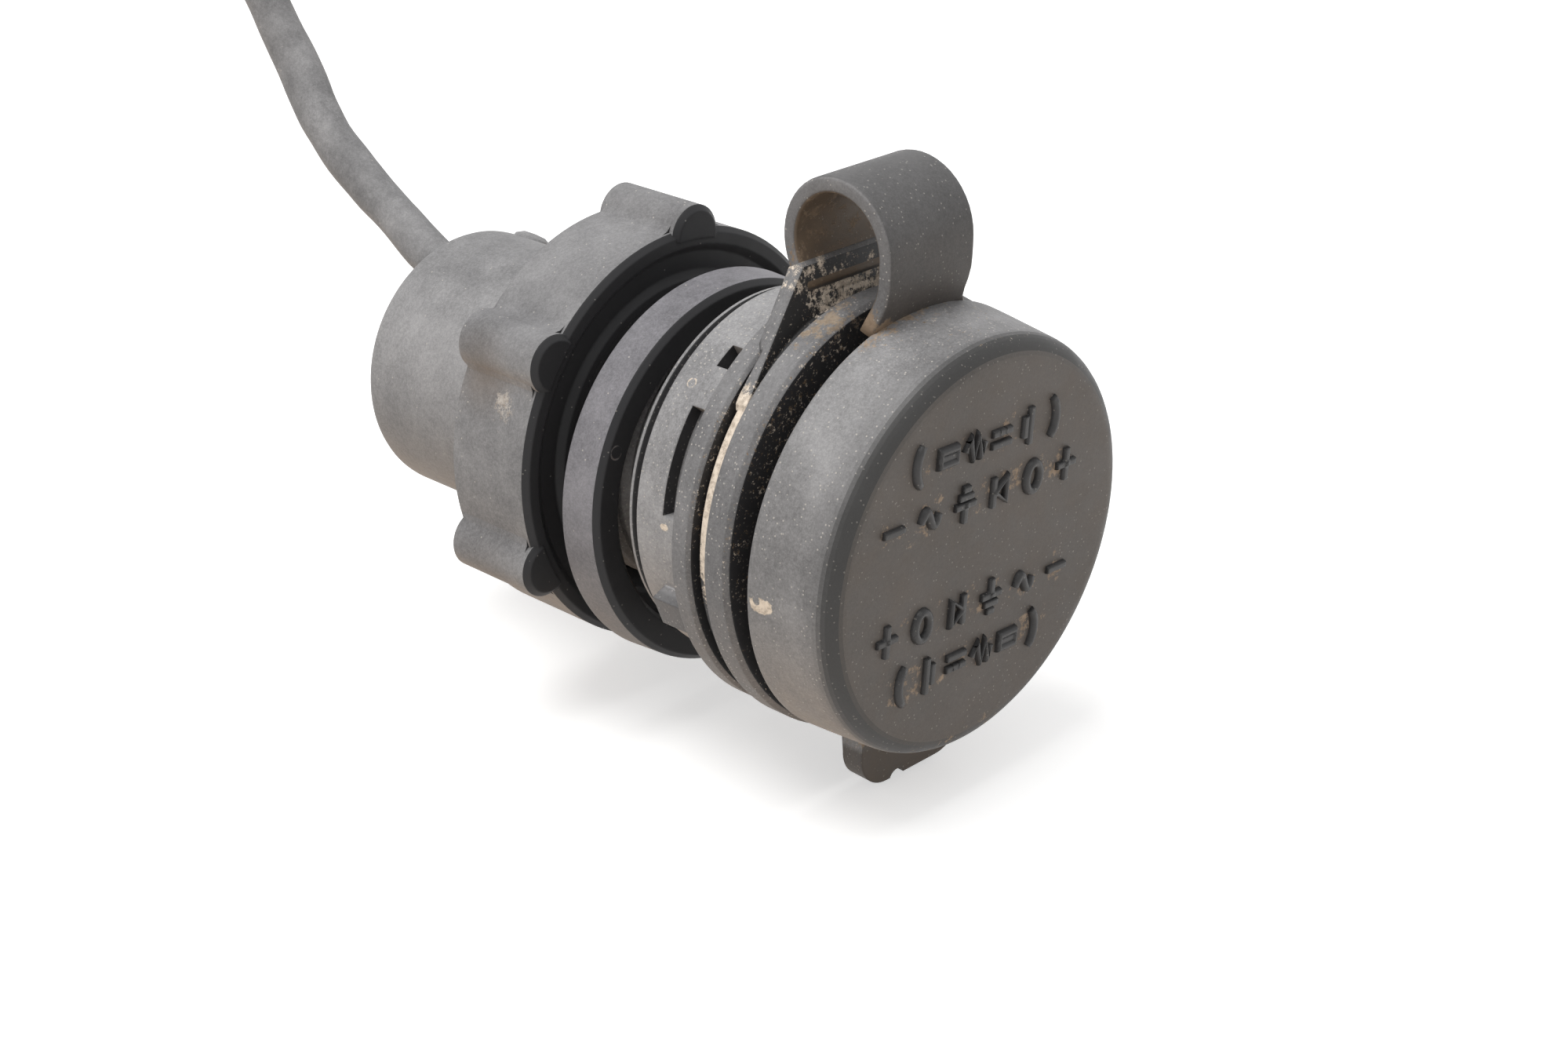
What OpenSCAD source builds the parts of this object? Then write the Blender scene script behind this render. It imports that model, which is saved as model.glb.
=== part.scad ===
// Weatherproof twelve volt accessory socket for a vehicle panel.
// X is to the right, Y runs back along the socket's own axis, Z is up.
// Y = 0 is the face of the rear flange that seats on the panel.
// All sizes are in millimetres.

/* [Flange and neck] */
// Radius of the front flange
front_flange_r = 19.2; // [18.6:0.1:21]
// Thickness of the front flange
front_flange_t = 2.7; // [1.8:0.1:3.4]
// Radius of the rear flange that seats on the panel
rear_flange_r = 18.9; // [18.4:0.1:20.5]
// Thickness of the rear flange
rear_flange_t = 2.2; // [1.6:0.1:3]
// Width of the groove between the flanges
groove_w = 1.9; // [1.7:0.1:2.6]
// Radius of the bottom of the groove
groove_r = 16.4; // [15.8:0.1:16.8]
// Radius of the neck that passes through the panel
neck_r = 16.6; // [16:0.1:17.2]
// Length of the neck behind the flange
neck_len = 6.5; // [5:0.1:7.5]
// Length of the stepped lip at the neck's rear end
neck_lip = 1.4; // [0.8:0.1:1.6]

/* [Barrel and thread] */
// Outside radius of the thread
thread_r = 12.9; // [12.7:0.1:13.4]
// Distance between two turns of the thread
thread_pitch = 2; // [1.5:0.25:2.5]
// Depth of the thread
thread_depth = 0.6; // [0.4:0.05:0.8]
// Where the thread ends, behind the panel seat
thread_end = 29; // [27:0.5:32]
// Radius of the plain rear end that the boot grips
tail_r = 11.5; // [11.2:0.1:11.7]
// Length of the plain rear end
tail_len = 8; // [6:0.5:10]

/* [Contacts] */
// Radius of the socket's bore
bore_r = 10.5; // [10.3:0.05:10.6]
// Wall of the metal contact sleeve
sleeve_wall = 0.5; // [0.4:0.05:0.6]
// Depth of the bore behind the panel seat
bore_depth = 23; // [21:0.5:24]
// Radius of the narrow chamber behind the bore
chamber_r = 7.6; // [7:0.1:8]
// Depth of the narrow chamber
chamber_len = 10.5; // [9.5:0.5:11]
// Radius of the centre contact button
button_r = 3.4; // [2.8:0.1:4]
// Travel of the centre contact button
button_travel = 2; // [1:0.25:2.5]
// Width of the blade terminals
blade_w = 6.3; // [4.8:0.1:6.3]
// Thickness of the blade terminals
blade_t = 0.8; // [0.5:0.1:1]
// Length of blade that a receptacle slides over
blade_len = 6; // [5:0.5:6.5]

/* [Cap] */
// Radius of the cap at its rear edge
cap_r = 19; // [18:0.1:20.5]
// Radius of the cap's front face before the edge is rounded
cap_front_r = 18.45; // [17.4:0.05:19.5]
// Length of the cap from rear edge to face
cap_len = 8.4; // [6.5:0.1:10]
// Rounding of the cap's front edge
cap_round = 2; // [0.6:0.1:2.4]
// Gap left between the cap and the front flange
cap_gap = 2.2; // [1.8:0.1:3]
// Tilt of the cap, its top pushed forward by the strap
cap_tilt = 3; // [0:0.5:4]
// Radius of the sealing spigot behind the cap
spigot_r = 9.85; // [9.4:0.05:10]
// Length of the sealing spigot past the rear edge
spigot_len = 2.4; // [1.5:0.1:2.6]
// Width of the pull tab
tab_w = 13.2; // [10:0.2:16]
// Reach of the pull tab from the cap's axis
tab_reach = 23.4; // [22.6:0.1:25]

/* [Strap] */
// Width of the strap loop
strap_w = 10.2; // [8:0.2:12]
// Thickness of the strap
strap_t = 1.4; // [1:0.1:1.6]
// Outside radius of the strap loop
loop_r = 5.9; // [5:0.1:7]
// Height of the loop's centre above the rear flange's edge
loop_rise = 5.3; // [4.7:0.1:7.1]
// Outside radius of the retaining ring
ring_out_r = 18.2; // [17.8:0.1:19]

/* [Ring nut and spacer] */
// Radius of the nut between its lobes
nut_r = 19; // [18:0.1:20.5]
// Radius over the nut's lobes
nut_lobe_r = 21.1; // [20.6:0.1:22.5]
// Length of the nut
nut_len = 10.6; // [9:0.1:12]
// Where the nut's front face stands, behind the panel seat
nut_y = 17.4; // [15.6:0.1:17.8]
// Number of lobes
lobes = 6; // [4:1:8]
// Direction of the first lobe, in degrees above +X
lobe_angle = 84; // [0:1:120]
// Outside radius of the spacer ring
spacer_r = 17.5; // [17:0.1:18.4]
// Bore radius of the spacer ring
spacer_bore = 14.6; // [14:0.1:15.4]
// Length of the spacer ring
spacer_len = 4.3; // [3:0.1:5]
// Where the spacer ring's front face stands
spacer_y = 10.4; // [8:0.1:11.5]

/* [Boot and lead] */
// Outside radius of the rear boot
boot_r = 12.5; // [12.3:0.1:12.6]
// Where the boot ends, behind the panel seat
boot_end = 48; // [47:0.5:52]
// Diameter of the sleeved lead
lead_d = 4.4; // [4:0.1:5]
// Height of the lead's exit above the axis
lead_z = 7.7; // [6:0.1:7.9]

/* [Hidden] */
$fn = 96;

// Clearances that the fits are worked out with
running = 0.06;
snug = 0.05;
soft_gap = 0.3;

// Places along the axis, front to back
groove_back = -rear_flange_t;
groove_front = groove_back - groove_w;
mouth_y = groove_front - front_flange_t;
cap_y = mouth_y - cap_gap;
sleeve_y = mouth_y + 1.3;
sleeve_back = bore_depth + sleeve_wall;
chamber_back = sleeve_back + chamber_len;
neck_end = neck_len + neck_lip;
tail_end = thread_end + tail_len;
sleeve_r = bore_r + sleeve_wall;

// Stack in the chamber, back to front: rear wall, disc, rivet head, spring, button, lip
rivet_r = 1.6;
rivet_head = 0.6;
rear_wall = 1.6;
disc_t = 2;
cup_wall = 2;
cup_lip = 1;
cup_front = sleeve_back + 0.5;
skirt_t = 0.8;
button_y = cup_front + cup_lip + snug;
spring_wire = 0.5;
spring_r = 2.4;
spring_turns = 4;
spring_y0 = button_y + skirt_t + spring_wire / 2;
spring_y1 = chamber_back - disc_t - rivet_head - spring_wire / 2;

// Blades: the positive one stands above the axis, the negative one below
recess_r = 5.2;
foot_y = chamber_back + rear_wall;
positive_z = 3;
negative_z = -9;
blade_end = max(tail_end, foot_y + blade_t) + blade_len - 0.6;
receptacle_len = 5.6;
receptacle_y = blade_end - 4.2;

// Boot
boot_wall = 1.4;
boot_front = thread_end + 0.8;
boot_in_r = 10.9;
boot_round = 1.5;
boot_sag = 0.3;
nub_a = 58;
grommet_r = 2.9;

// Strap loop and the ring it hangs from
loop_y = cap_y + 3.4;
loop_z = rear_flange_r + loop_rise;
loop_in = loop_r - strap_t;
kink_a = -28;
leg_z = loop_z - 2.6;
ring_t = 1.4;
ring_in_r = groove_r + 0.08;
ring_front = groove_back - soft_gap - ring_t;
flare_w = 27;
flare_z = 12;

// Points along an arc in a plane, from angle a0 to a1
function arc(c, r, a0, a1, n) =
    [for (i = [0 : n]) let (a = a0 + (a1 - a0) * i / n) [c[0] + r * cos(a), c[1] + r * sin(a)]];

// A turned shape about the socket's axis: each point is [radius, place along Y]
module turned(points, fn = 96) {
    rotate([-90, 0, 0]) rotate_extrude($fn = fn) polygon(points);
}

// A round bar along the axis between two places
module bar(r, y0, y1, fn = 48) {
    translate([0, y0, 0]) rotate([-90, 0, 0]) cylinder(r = r, h = y1 - y0, $fn = fn);
}

// Turns what points along +X so that it points at angle a above +X
module at_angle(a) {
    rotate([0, -a, 0]) children();
}

// A block by its lowest and highest corners
module block(low, high) {
    translate(low) cube(high - low);
}

// Thread outline: one V groove per pitch, from front to back
function thread_points(y0, y1) = [
    for (i = [0 : floor((y1 - y0) / thread_pitch) - 1])
        let (y = y0 + i * thread_pitch)
        each [[thread_r, y + 0.15 * thread_pitch], [thread_r - thread_depth, y + 0.5 * thread_pitch],
            [thread_r, y + 0.85 * thread_pitch]]];

// Directions of the long slot, the notch and the key round the neck, and the sweeps of both cuts
slot_a = 157;
slot_sweep = 33;
notch_a = 123;
notch_sweep = 8;
key_a = 202;

// Housing: both flanges, neck, threaded barrel and plain tail in one moulding
module socket_housing() {
    color("#3a3a3c") difference() {
        turned(concat(
            [[bore_r + 1.5, mouth_y], [front_flange_r - 0.4, mouth_y], [front_flange_r, mouth_y + 0.4],
             [front_flange_r, groove_front - 0.3], [front_flange_r - 0.3, groove_front],
             [groove_r, groove_front], [groove_r, groove_back],
             [rear_flange_r - 0.3, groove_back], [rear_flange_r, groove_back + 0.3],
             [rear_flange_r, -0.3], [rear_flange_r - 0.3, 0], [neck_r, 0],
             [neck_r, neck_len - 0.2], [neck_r - 0.2, neck_len], [neck_r - 1, neck_len],
             [neck_r - 1, neck_end - 0.7], [neck_r - 0.5, neck_end - 0.5],
             [neck_r - 0.5, neck_end - 0.2], [neck_r - 0.8, neck_end],
             [thread_r - thread_depth, neck_end], [thread_r - thread_depth, neck_end + 0.6]],
            thread_points(neck_end + 0.6, thread_end),
            [[thread_r - thread_depth, thread_end], [tail_r, thread_end + 0.4],
             [tail_r, tail_end - 0.5], [tail_r - 0.5, tail_end],
             [0, tail_end], [0, chamber_back], [chamber_r + snug, chamber_back],
             [chamber_r + snug, sleeve_back], [sleeve_r + snug, sleeve_back],
             [sleeve_r + snug, sleeve_y], [bore_r + 0.1, sleeve_y], [bore_r + 0.1, mouth_y + 1]]));
        // Slots just behind the rear flange, in pairs on both sides
        for (s = [0, 180]) {
            slot_in_neck(slot_a + s, slot_sweep);
            slot_in_neck(notch_a + s, notch_sweep);
        }
        // Hole for the rivet, slot for the negative blade and recess round the rivet's tail
        bar(rivet_r + snug, chamber_back - 1, tail_end + 1);
        block([-blade_w / 2 - snug, sleeve_back - 1, negative_z - blade_t / 2 - snug],
            [blade_w / 2 + snug, tail_end + 1, negative_z + blade_t / 2 + snug]);
        bar(recess_r, foot_y, tail_end + 1);
    }
    // Key that stops the socket turning in its panel
    color("#3a3a3c") at_angle(key_a)
        block([neck_r - 1, -0.2, -1.5], [neck_r + 1.6, 3.7, 1.5]);
}

module slot_in_neck(a, sweep) {
    rotate([0, -a + sweep / 2, 0]) rotate([-90, 0, 0]) mirror([0, 1, 0])
        translate([0, 0, 0.9]) rotate_extrude(angle = sweep, $fn = 96)
            translate([neck_r - 1.3, 0]) square([3, 2.3]);
}

// Metal sleeve that an accessory plug's side contacts touch
module contact_sleeve() {
    color("#c9c4b4") difference() {
        turned([[bore_r, sleeve_y], [sleeve_r, sleeve_y], [sleeve_r, sleeve_back],
            [chamber_r - 1.4, sleeve_back], [chamber_r - 1.4, bore_depth], [bore_r, bore_depth]]);
        // Slot that the negative blade is welded in
        block([-blade_w / 2, bore_depth - 1, negative_z - blade_t / 2],
            [blade_w / 2, sleeve_back + 1, negative_z + blade_t / 2]);
    }
}

// Insulating cup: its lip holds the sprung button, its rear end stands on the disc
module insulator_cup() {
    back = chamber_back - disc_t;
    color("#d9d2c0") turned([[button_r + 0.15, cup_front], [chamber_r, cup_front], [chamber_r, back],
        [chamber_r - cup_wall, back], [chamber_r - cup_wall, cup_front + cup_lip],
        [button_r + 0.15, cup_front + cup_lip]], 64);
}

module insulator_disc() {
    color("#8c5a34") turned([[rivet_r + snug, chamber_back - disc_t], [chamber_r, chamber_back - disc_t],
        [chamber_r, chamber_back], [rivet_r + snug, chamber_back]], 64);
}

// Spring: a round wire wound on a coil and swept ring by ring
module contact_spring() {
    n = 14 * spring_turns;
    m = 6;
    points = [for (i = [0 : n])
        let (a = 360 * i * spring_turns / n, y = spring_y0 + (spring_y1 - spring_y0) * i / n)
        each [for (j = [0 : m - 1]) let (r = spring_r + spring_wire / 2 * cos(360 * j / m))
            [r * cos(a), y + spring_wire / 2 * sin(360 * j / m), r * sin(a)]]];
    faces = concat(
        [for (i = [0 : n - 1], j = [0 : m - 1])
            each [[i * m + j, i * m + (j + 1) % m, (i + 1) * m + (j + 1) % m],
                [i * m + j, (i + 1) * m + (j + 1) % m, (i + 1) * m + j]]],
        [[for (j = [m - 1 : -1 : 0]) j]], [[for (j = [0 : m - 1]) n * m + j]]);
    color("#b8bcc0") polyhedron(points, faces, convexity = 8);
}

// Centre contact: a domed button with a skirt behind the cup's lip
module centre_contact() {
    shank = 0.2;
    color("#d0b060") turned(concat(
        [[0, button_y + skirt_t], [chamber_r - cup_wall - 0.6, button_y + skirt_t],
         [chamber_r - cup_wall - 0.6, button_y], [button_r, button_y]],
        [for (a = [0 : 10 : 90]) [button_r * cos(a), button_y - shank - 0.5 * button_r * sin(a)]]), 48);
}

// Rivet through the disc, the housing's rear wall and the positive blade's foot
module centre_rivet() {
    head_y = chamber_back - disc_t - rivet_head;
    tail_y = foot_y + blade_t;
    color("#d0b060") turned([[0, head_y], [3, head_y], [3, head_y + rivet_head],
        [rivet_r, head_y + rivet_head], [rivet_r, tail_y], [2.5, tail_y],
        [2.2, tail_y + 0.6], [0, tail_y + 0.6]], 48);
}

// Positive blade: a foot under the rivet and a blade bent to point back
module positive_terminal() {
    color("#d8c48a") difference() {
        union() {
            block([-blade_w / 2, foot_y, -2.8], [blade_w / 2, foot_y + blade_t, positive_z + blade_t / 2]);
            block([-blade_w / 2, foot_y, positive_z - blade_t / 2],
                [blade_w / 2, blade_end, positive_z + blade_t / 2]);
        }
        bar(rivet_r + snug, foot_y - 1, foot_y + blade_t + 1);
        translate([0, blade_end - 2.6, 0]) cylinder(r = 0.9, h = 10, $fn = 24);
    }
}

// Negative blade: welded in the sleeve's floor and led out through the rear wall
module negative_terminal() {
    color("#d8c48a") difference() {
        block([-blade_w / 2, bore_depth, negative_z - blade_t / 2],
            [blade_w / 2, blade_end, negative_z + blade_t / 2]);
        translate([0, blade_end - 2.6, negative_z - 2]) cylinder(r = 0.9, h = 4, $fn = 24);
    }
}

// Crimped receptacle that slides over a blade
module receptacle(z) {
    y = receptacle_y;
    color("#cfcabb") difference() {
        block([-blade_w / 2 - 0.5, y, z - blade_t / 2 - 0.7],
            [blade_w / 2 + 0.5, y + receptacle_len, z + blade_t / 2 + 0.7]);
        block([-blade_w / 2 - snug, y - 1, z - blade_t / 2 - snug],
            [blade_w / 2 + snug, blade_end + 0.3, z + blade_t / 2 + snug]);
    }
}
module positive_receptacle() { receptacle(positive_z); }
module negative_receptacle() { receptacle(negative_z); }

// Round tube swept along points, with rings square to the run
function unit(v) = v / norm(v);
function frames(p, side) = [for (i = [0 : len(p) - 1])
    let (t = unit(p[min(i + 1, len(p) - 1)] - p[max(i - 1, 0)]), u = unit(cross(t, side)), v = cross(t, u))
    [u, v]];
module swept(p, d, side, sides = 8) {
    f = frames(p, side);
    n = len(p) - 1;
    pts = [for (i = [0 : n]) each [for (j = [0 : sides - 1])
        p[i] + d / 2 * (cos(360 * j / sides) * f[i][0] + sin(360 * j / sides) * f[i][1])]];
    faces = concat(
        [for (i = [0 : n - 1], j = [0 : sides - 1])
            each [[i * sides + j, (i + 1) * sides + (j + 1) % sides, i * sides + (j + 1) % sides],
                [i * sides + j, (i + 1) * sides + j, (i + 1) * sides + (j + 1) % sides]]],
        [[for (j = [0 : sides - 1]) j]], [[for (j = [sides - 1 : -1 : 0]) n * sides + j]]);
    polyhedron(pts, faces, convexity = 6);
}

// Single wires from the receptacles to the sleeve of the lead
wire_d = 1.7;
wire_y0 = receptacle_y + receptacle_len;
wire_y1 = boot_end - boot_wall - 0.3;
mid_y = wire_y1 - 1.2;
positive_run = [[0, wire_y0 + 0.05, positive_z], [0, wire_y0 + 0.5, positive_z], [0.7, wire_y0 + 1, 4.2],
    [1.05, mid_y, 6.6], [1.05, wire_y1 - 0.5, lead_z], [1.05, wire_y1, lead_z]];
negative_run = [[0, wire_y0 + 0.05, negative_z], [0, wire_y0 + 0.5, negative_z], [-1.6, mid_y - 0.2, -7.6],
    [-2.4, mid_y, -3], [-2.4, mid_y, 2], [-1.4, mid_y, 6.6], [-1.05, wire_y1 - 0.5, lead_z],
    [-1.05, wire_y1, lead_z]];
module positive_wire() { color("#8c2f28") swept(positive_run, wire_d, [1, 0, 0]); }
module negative_wire() { color("#262628") swept(negative_run, wire_d, [1, 0, 0]); }

// Rubber boot over the tail, with a rear wall that the lead leaves through
module rear_boot() {
    color("#4b4b4d") difference() {
        union() {
            translate([0, 0, -boot_sag]) turned(concat(
                [[0, boot_front], [boot_r - 0.3, boot_front], [boot_r, boot_front + 0.3]],
                [for (a = [0 : 15 : 90])
                    [boot_r - boot_round * (1 - cos(a)), boot_end - boot_round * (1 - sin(a))]],
                [[0, boot_end]]));
            // Moulded nub on the boot's upper edge
            at_angle(nub_a) translate([boot_r - 0.9, boot_end - 3, 0]) rotate([0, 90, 0])
                rotate_extrude($fn = 24) polygon([[0, 0], [2, 0], [1.8, 0.8], [1.1, 1.2], [0, 1.3]]);
        }
        bar(tail_r + 0.02, boot_front - 1, tail_end, 96);
        bar(boot_in_r, tail_end - 0.01, boot_end - boot_wall, 96);
        translate([0, 0, lead_z]) bar(grommet_r + 0.02, boot_end - 3, boot_end + 1);
    }
}

// Grommet that grips the lead in the boot's wall
module lead_grommet() {
    color("#2c2c2e") translate([0, 0, lead_z])
        turned([[lead_d / 2 + 0.02, boot_end - boot_wall], [grommet_r, boot_end - boot_wall],
            [grommet_r, boot_end], [lead_d / 2 + 0.5, boot_end + 0.6],
            [lead_d / 2 + 0.02, boot_end + 0.6]], 48);
}

// Cap: round face, slightly tapered skirt, hollow behind, sealing spigot and pull tab
module cap() {
    color("#3f3f41") cap_place() {
        turned(concat(
            [[0, -cap_len]],
            arc([cap_front_r - cap_round, -cap_len + cap_round], cap_round, -90, -4, 8),
            [[cap_r, -0.4], [cap_r - 0.4, 0], [cap_r - 2.7, 0], [cap_front_r - 2.35, -cap_len + 3.3],
             [spigot_r + 2.4, -cap_len + 3.3], [spigot_r + 2.4, -0.6], [spigot_r, -0.2],
             [spigot_r, spigot_len - 0.6], [spigot_r - 0.5, spigot_len], [spigot_r - 2, spigot_len],
             [spigot_r - 2.3, -cap_len + 3.3], [0, -cap_len + 3.3]]));
        pull_tab();
    }
}

module cap_place() {
    translate([0, cap_y, 0]) rotate([cap_tilt, 0, 0]) children();
}

tab_t = 2.2;
tab_corner = 3.4;
module pull_tab() {
    // Flat tab below the cap, its two corners rounded and its edge nicked
    translate([0, -tab_t, 0]) rotate([-90, 0, 0]) difference() {
        union() {
            for (s = [-1, 1]) translate([s * (tab_w / 2 - tab_corner), tab_reach - tab_corner, 0])
                cylinder(r = tab_corner, h = tab_t, $fn = 48);
            translate([-tab_w / 2 + tab_corner, cap_r - 3, 0])
                cube([tab_w - 2 * tab_corner, tab_reach - cap_r + 3, tab_t]);
            translate([-tab_w / 2, cap_r - 3, 0]) cube([tab_w, tab_reach - tab_corner - cap_r + 3, tab_t]);
        }
        translate([-1.9, tab_reach + 0.3, -1]) cylinder(r = 0.9, h = tab_t + 2, $fn = 24);
        translate([0, 0, -1]) cylinder(r = cap_r - 1, h = tab_t + 2, $fn = 96);
    }
}

// Strap loop: stands up from the cap's skirt, turns over and comes down on the ring
module strap_loop() {
    foot = sqrt(pow(cap_r, 2) - pow(strap_w / 2, 2)) - 0.6;
    front = loop_y - loop_r;
    far = 20;
    color("#48484a") {
        difference() {
            translate([0, loop_y, loop_z]) rotate([0, 90, 0])
                cylinder(r = loop_r, h = strap_w, center = true);
            translate([0, loop_y, loop_z]) rotate([0, 90, 0]) cylinder(r = loop_in, h = far, center = true);
            strap_side(strap_w + 2) polygon([[loop_y, loop_z], [loop_y - far, loop_z], [loop_y - far, 0],
                [loop_y + far, 0], [loop_y + far * cos(kink_a), loop_z + far * sin(kink_a)]]);
        }
        difference() {
            strap_side(strap_w) polygon([[front, loop_z], [front + 0.15, leg_z], [front + 1.35, foot],
                [front + strap_t + 1.2, foot], [front + strap_t + 0.15, leg_z], [front + strap_t, loop_z]]);
            cap_place() bar(cap_r + 0.01, -cap_len - 1, cap_gap, 96);
        }
    }
}

// A side view in Y and Z, extruded evenly to both sides of X = 0
module strap_side(w) {
    translate([-w / 2, 0, 0]) rotate([90, 0, 90]) linear_extrude(w) children();
}

// Retaining ring in the groove, with the flared root that the loop grows from
module retaining_ring() {
    bead = 0.35;
    kink = [loop_y + loop_r * cos(kink_a), loop_z + loop_r * sin(kink_a)];
    inner = [loop_y + loop_in * cos(kink_a), loop_z + loop_in * sin(kink_a)];
    color("#48484a") {
        turned([[ring_in_r, ring_front + bead], [ring_in_r + bead, ring_front],
            [ring_out_r - bead, ring_front], [ring_out_r, ring_front + bead],
            [ring_out_r, ring_front + ring_t - bead], [ring_out_r - bead, ring_front + ring_t],
            [ring_in_r + bead, ring_front + ring_t], [ring_in_r, ring_front + ring_t - bead]]);
        difference() {
            hull() {
                for (x = [-1, 1]) {
                    translate([x * strap_w / 2, 0, 0]) rotate([0, 90, 0])
                        linear_extrude(0.01, center = true)
                        polygon([[-kink[1], kink[0]], [-inner[1], inner[0]],
                            [-inner[1] + 0.3, inner[0] - 0.4], [-kink[1] + 0.3, kink[0] - 0.4]]);
                    block([x * flare_w / 2 - 0.1, ring_front + 0.1, flare_z],
                        [x * flare_w / 2 + 0.1, ring_front + ring_t - 0.1, flare_z + 0.6]);
                }
            }
            bar(rear_flange_r + soft_gap, groove_back - soft_gap, spacer_y, 96);
            bar(groove_r + 0.6, cap_y, spacer_y, 96);
            bar(front_flange_r + soft_gap, cap_y, groove_front + 0.15, 96);
        }
    }
}

// Spacer ring: loose on the barrel, so it hangs with all its slack below
spacer_sag = spacer_bore - thread_r - 0.1;
module spacer_ring() {
    color("#47474a") translate([0, 0, -spacer_sag])
        turned([[spacer_bore, spacer_y + 0.4], [spacer_bore + 0.4, spacer_y],
            [spacer_r - 0.5, spacer_y], [spacer_r, spacer_y + 0.5],
            [spacer_r + 0.2, spacer_y + spacer_len - 0.3], [spacer_r - 0.1, spacer_y + spacer_len],
            [spacer_bore, spacer_y + spacer_len]]);
}

// Ring nut: round body, six rounded lobes, dished front face
lobe_round = 2.7;
lobe_fillet = 1.3;
nut_dish = 0.8;
module ring_nut() {
    color("#454547") {
        turned([[thread_r + running, nut_y + 0.6], [thread_r + 1, nut_y + 0.2],
            [thread_r + 1.6, nut_y + 0.2], [thread_r + 2.2, nut_y + nut_dish],
            [nut_r - 2.2, nut_y + nut_dish], [nut_r - 1.5, nut_y + 0.2],
            [nut_r - 0.5, nut_y + 0.2], [nut_r, nut_y + 0.7],
            [nut_r, nut_y + nut_len - 0.9], [nut_r - 0.5, nut_y + nut_len - 0.4],
            [thread_r + 0.5, nut_y + nut_len - 0.4], [thread_r + running, nut_y + nut_len - 0.8]]);
        for (i = [0 : lobes - 1]) at_angle(lobe_angle + i * 360 / lobes) nut_lobe();
    }
}

module nut_lobe() {
    reach = nut_lobe_r - lobe_round;
    difference() {
        union() {
            translate([reach, nut_y, 0]) rotate([-90, 0, 0]) rotate_extrude($fn = 48)
                polygon([[0, 0], [lobe_round - 0.5, 0], [lobe_round, 0.5],
                    [lobe_round, nut_len - 0.8], [lobe_round - 0.8, nut_len], [0, nut_len]]);
            for (s = [-1, 1]) lobe_flank(reach, s);
        }
        bar(nut_r - 0.9, nut_y - 1, nut_y + nut_len + 1, 96);
    }
}

// Hollow flank between a lobe and the nut's body, on side s
flank_in = 0.3;
module lobe_flank(reach, s) {
    near = nut_r + lobe_fillet;
    far = lobe_round + lobe_fillet;
    turn = acos((near * near + reach * reach - far * far) / (2 * near * reach));
    centre = [near * cos(turn), near * sin(turn)];
    bend = arc(centre, lobe_fillet, turn + 180, 360 + atan2(-centre[1], reach - centre[0]), 2);
    foot = bend[0] + flank_in * (bend[0] - bend[1]);
    head = bend[2] + flank_in * (bend[2] - bend[1]);
    translate([0, nut_y + nut_len - 1.15, 0]) rotate([90, 0, 0]) linear_extrude(nut_len - 2.1)
        scale([1, s]) polygon([[reach - 1, 0], foot, bend[1], head]);
}

// Lead: leaves the boot level, rises, turns over and comes down beside its connector
lead_points = [[0, 46.6, 7.7], [0, 49.4, 7.7], [0, 53, 9], [0, 57, 11.3], [-0.3, 61, 13.8],
    [-0.6, 65, 16.8], [-0.5, 68, 19.7], [0, 71, 22.9], [0, 74, 27], [-0.2, 77, 31.5],
    [-0.8, 81, 36], [-2, 86.5, 39.5],
    [-4, 93, 41.5], [-7, 99.5, 41], [-10.5, 106, 38.5], [-13.5, 112, 34], [-16, 117, 27.5],
    [-17.5, 121, 19.5], [-18, 124, 11], [-18, 126.5, 2.5], [-17.5, 129.5, -6], [-16.5, 134, -13.5],
    [-15, 140, -19], [-13, 147, -21.5], [-10.5, 154, -21.9], [-7.5, 161, -21.9], [-4.5, 168, -21.9],
    [-2.5, 174, -21.9], [-2, 180, -21.9], [-2, 182, -21.9]];
module lead() { color("#4a4a4c") swept(lead_points, lead_d, [1, 0, 0], 8); }

// The two wires that come out of the lead's sleeve and enter the connector
positive_out = [[-0.95, 182.05, -21.9], [-0.95, 182.8, -21.9], [0.1, 186, -21.7], [1.1, 189.5, -21.2],
    [1.4, 192.5, -20.9], [1.4, 196.3, -20.9]];
negative_out = [[-3.05, 182.05, -21.9], [-3.05, 182.8, -21.9], [-4.1, 186, -21.7], [-5.1, 189.5, -21.2],
    [-5.4, 192.5, -20.9], [-5.4, 196.3, -20.9]];
module positive_tail() { color("#8c2f28") swept(positive_out, wire_d, [1, 0, 0]); }
module negative_tail() { color("#262628") swept(negative_out, wire_d, [1, 0, 0]); }

// Two way connector on the lead's end, its wires entering from the front
plug_at = [-2, 203, -24.1];
plug_w = 14;
plug_h = 6.4;
plug_len = 18;
way = 3.4;
module plug_place() {
    translate(plug_at) rotate([0, 0, 180]) children();
}
module connector_housing() {
    color("#e4e0d2") plug_place() difference() {
        union() {
            block([-plug_w / 2, -plug_len / 2, 0], [plug_w / 2, plug_len / 2, plug_h]);
            block([-2.5, -5, plug_h], [2.5, 4, plug_h + 1.2]);
        }
        for (s = [-1, 1]) block([s * way - 2.4, -plug_len / 2 - 1, 1.2], [s * way + 2.4, 3, plug_h - 1.2]);
        for (s = [-1, 1]) translate([s * way, 0, plug_h / 2]) bar(1, 2, plug_len / 2 + 1);
    }
}
module connector_pin(s) {
    color("#d0b060") plug_place() {
        block([s * way - 1.6, -6, plug_h / 2 - 0.4], [s * way + 1.6, 3, plug_h / 2 + 0.4]);
        translate([s * way, 0, plug_h / 2]) bar(0.95, 2.5, 6.5, 24);
    }
}
module connector_pin_left() { connector_pin(-1); }
module connector_pin_right() { connector_pin(1); }

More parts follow.
